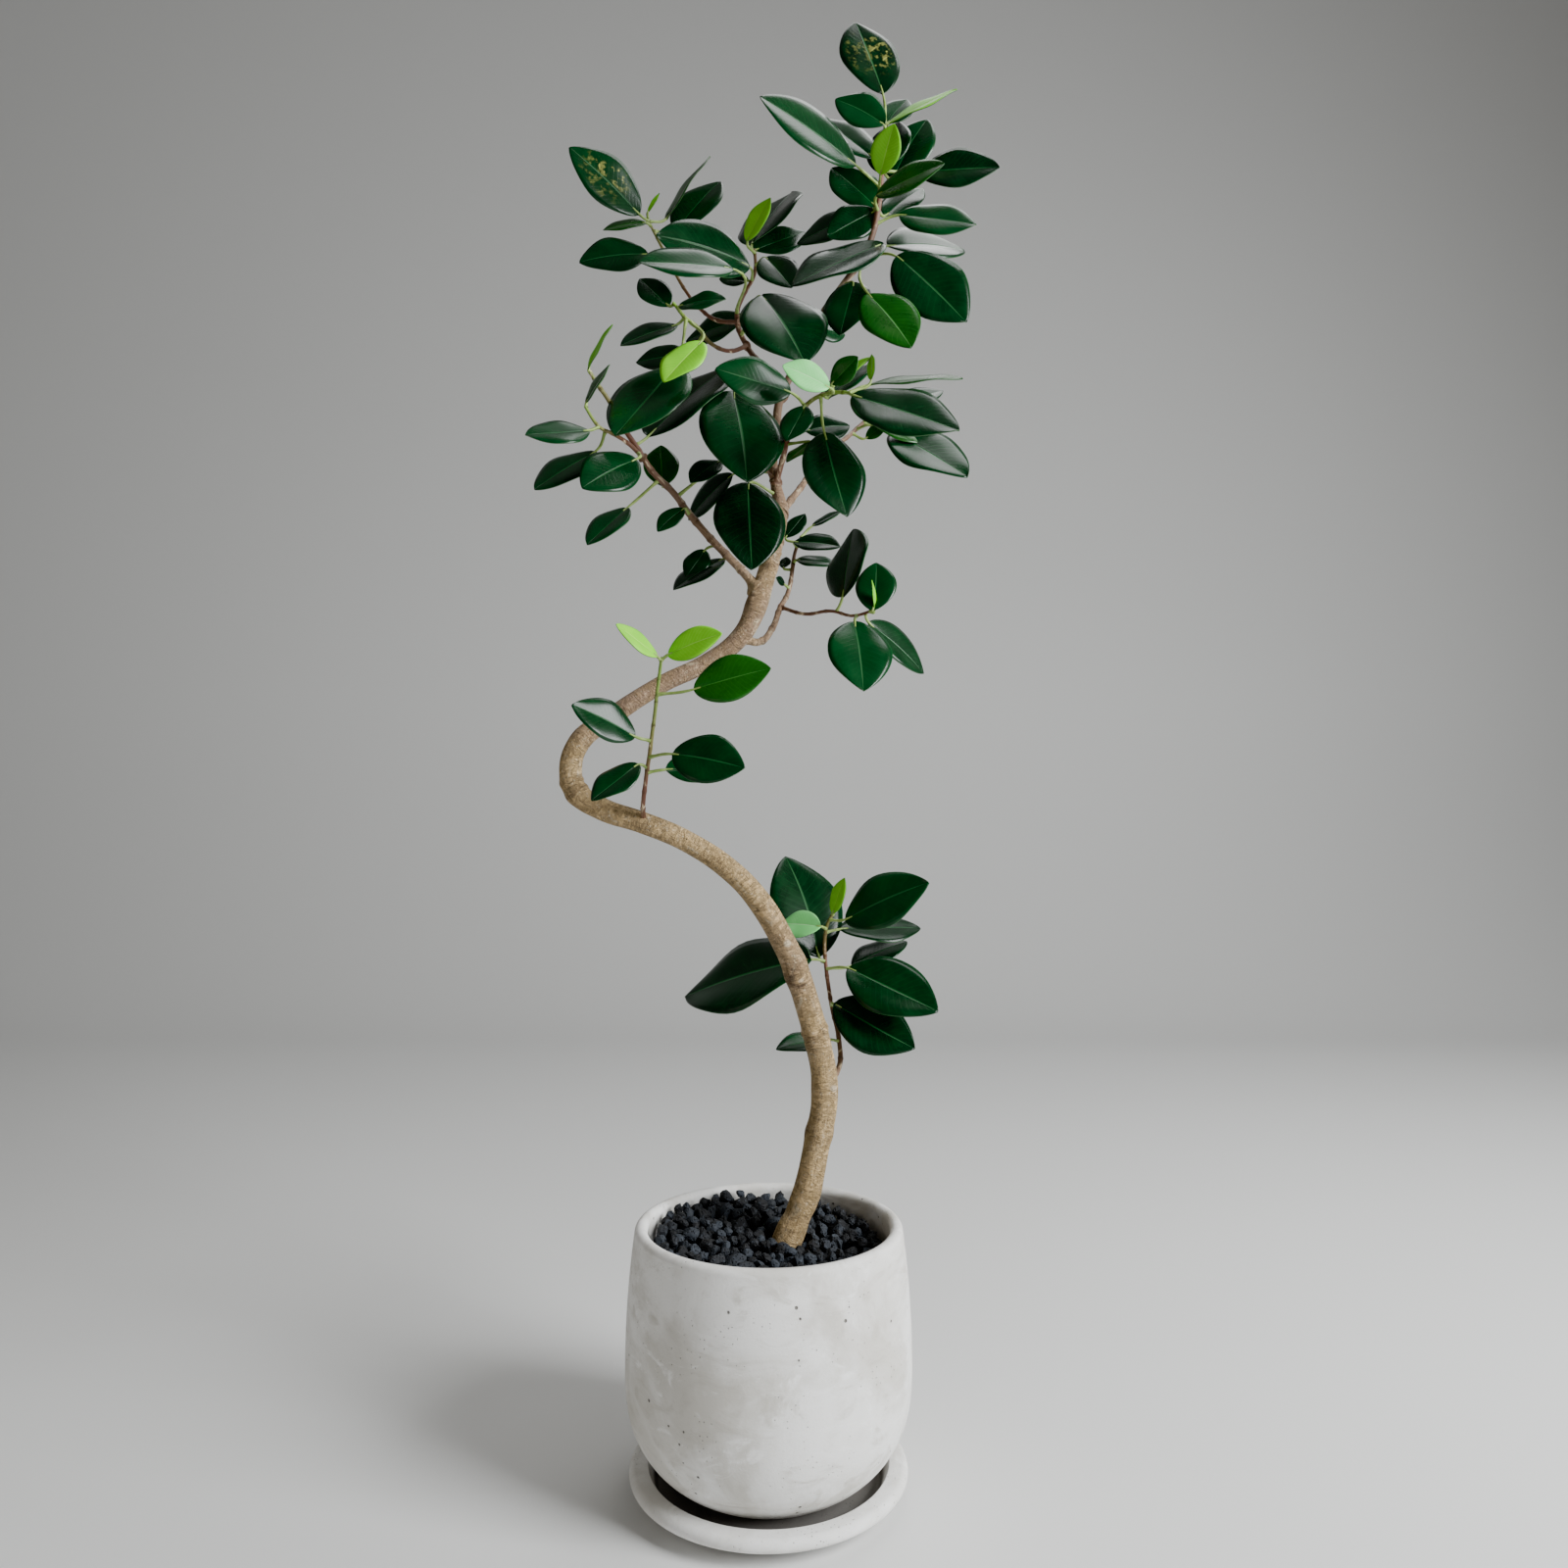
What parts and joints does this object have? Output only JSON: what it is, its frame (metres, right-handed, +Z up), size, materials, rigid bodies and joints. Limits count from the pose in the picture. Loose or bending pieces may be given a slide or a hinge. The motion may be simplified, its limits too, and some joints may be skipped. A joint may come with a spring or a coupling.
{
  "type": "potted ficus",
  "caption": "Bent-trunk ficus tree with glossy oval leaves, growing in a rounded pale cast-clay pot that stands on a matching saucer.",
  "frame": {"origin": "centre of the saucer's underside, on the pot's axis, at the surface it stands on", "axes": "+Z up along the plant's height, -Y towards the front, +X to the right seen from the front"},
  "size_m": [0.2865, 0.2057, 0.9416],
  "materials": {
    "cast_clay": "matt off-white cast clay, cloudy, with pinholes",
    "bark": "smooth tan-grey living bark with fine lengthwise cracks and leaf scars",
    "potting_soil": "dark, moist, crumbly potting soil",
    "lava_gravel": "rough black lava gravel",
    "leaf_deep": "glossy dark green leathery leaf",
    "leaf_fresh": "satin mid-green leaf",
    "leaf_lime": "satin lime-green young leaf",
    "leaf_mint": "satin pale mint young leaf"
  },
  "bodies": {
    "root": {"bend_shoot_leaf_1": "leaf_lime", "bend_shoot_leaf_2": "leaf_fresh", "bend_shoot_leaf_3": "leaf_deep", "bend_shoot_leaf_4": "leaf_deep", "bend_shoot_leaf_5": "leaf_deep", "centre_stem_leaf_1": "leaf_deep", "centre_stem_leaf_2": "leaf_mint", "centre_stem_leaf_3": "leaf_deep", "centre_stem_leaf_4": "leaf_deep", "centre_stem_leaf_5": "leaf_deep", "gravel": "lava_gravel", "leader_leaf_1": "leaf_deep", "leader_leaf_10": "leaf_deep", "leader_leaf_11": "leaf_deep", "leader_leaf_12": "leaf_deep", "leader_leaf_13": "leaf_deep", "leader_leaf_14": "leaf_deep", "leader_leaf_15": "leaf_deep", "leader_leaf_16": "leaf_fresh", "leader_leaf_2": "leaf_deep", "leader_leaf_3": "leaf_lime", "leader_leaf_4": "leaf_deep", "leader_leaf_5": "leaf_deep", "leader_leaf_6": "leaf_deep", "leader_leaf_7": "leaf_deep", "leader_leaf_8": "leaf_fresh", "leader_leaf_9": "leaf_deep", "left_branch_leaf_1": "leaf_deep", "left_branch_leaf_2": "leaf_deep", "left_long_twig_leaf_1": "leaf_deep", "left_long_twig_leaf_2": "leaf_deep", "left_long_twig_leaf_3": "leaf_deep", "left_low_twig_leaf_1": "leaf_lime", "left_low_twig_leaf_2": "leaf_deep", "left_stem_leaf_1": "leaf_deep", "left_stem_leaf_2": "leaf_deep", "left_stem_leaf_3": "leaf_deep", "left_stem_leaf_4": "leaf_lime", "left_stem_leaf_5": "leaf_deep", "left_stem_leaf_6": "leaf_deep", "left_stem_leaf_7": "leaf_deep", "left_twig_leaf_1": "leaf_deep", "left_twig_leaf_2": "leaf_deep", "left_twig_leaf_3": "leaf_deep", "lower_twig_leaf_1": "leaf_deep", "lower_twig_leaf_2": "leaf_mint", "lower_twig_leaf_3": "leaf_deep", "lower_twig_leaf_4": "leaf_deep", "lower_twig_leaf_5": "leaf_deep", "lower_twig_leaf_6": "leaf_deep", "lower_twig_leaf_7": "leaf_deep", "pot": "cast_clay", "right_fork_leaf_1": "leaf_deep", "right_twig_leaf_1": "leaf_deep", "right_twig_leaf_2": "leaf_deep", "right_twig_leaf_3": "leaf_deep", "right_twig_leaf_4": "leaf_deep", "saucer": "cast_clay", "soil": "potting_soil", "trunk_and_branches": "bark"}
  },
  "joints": []
}
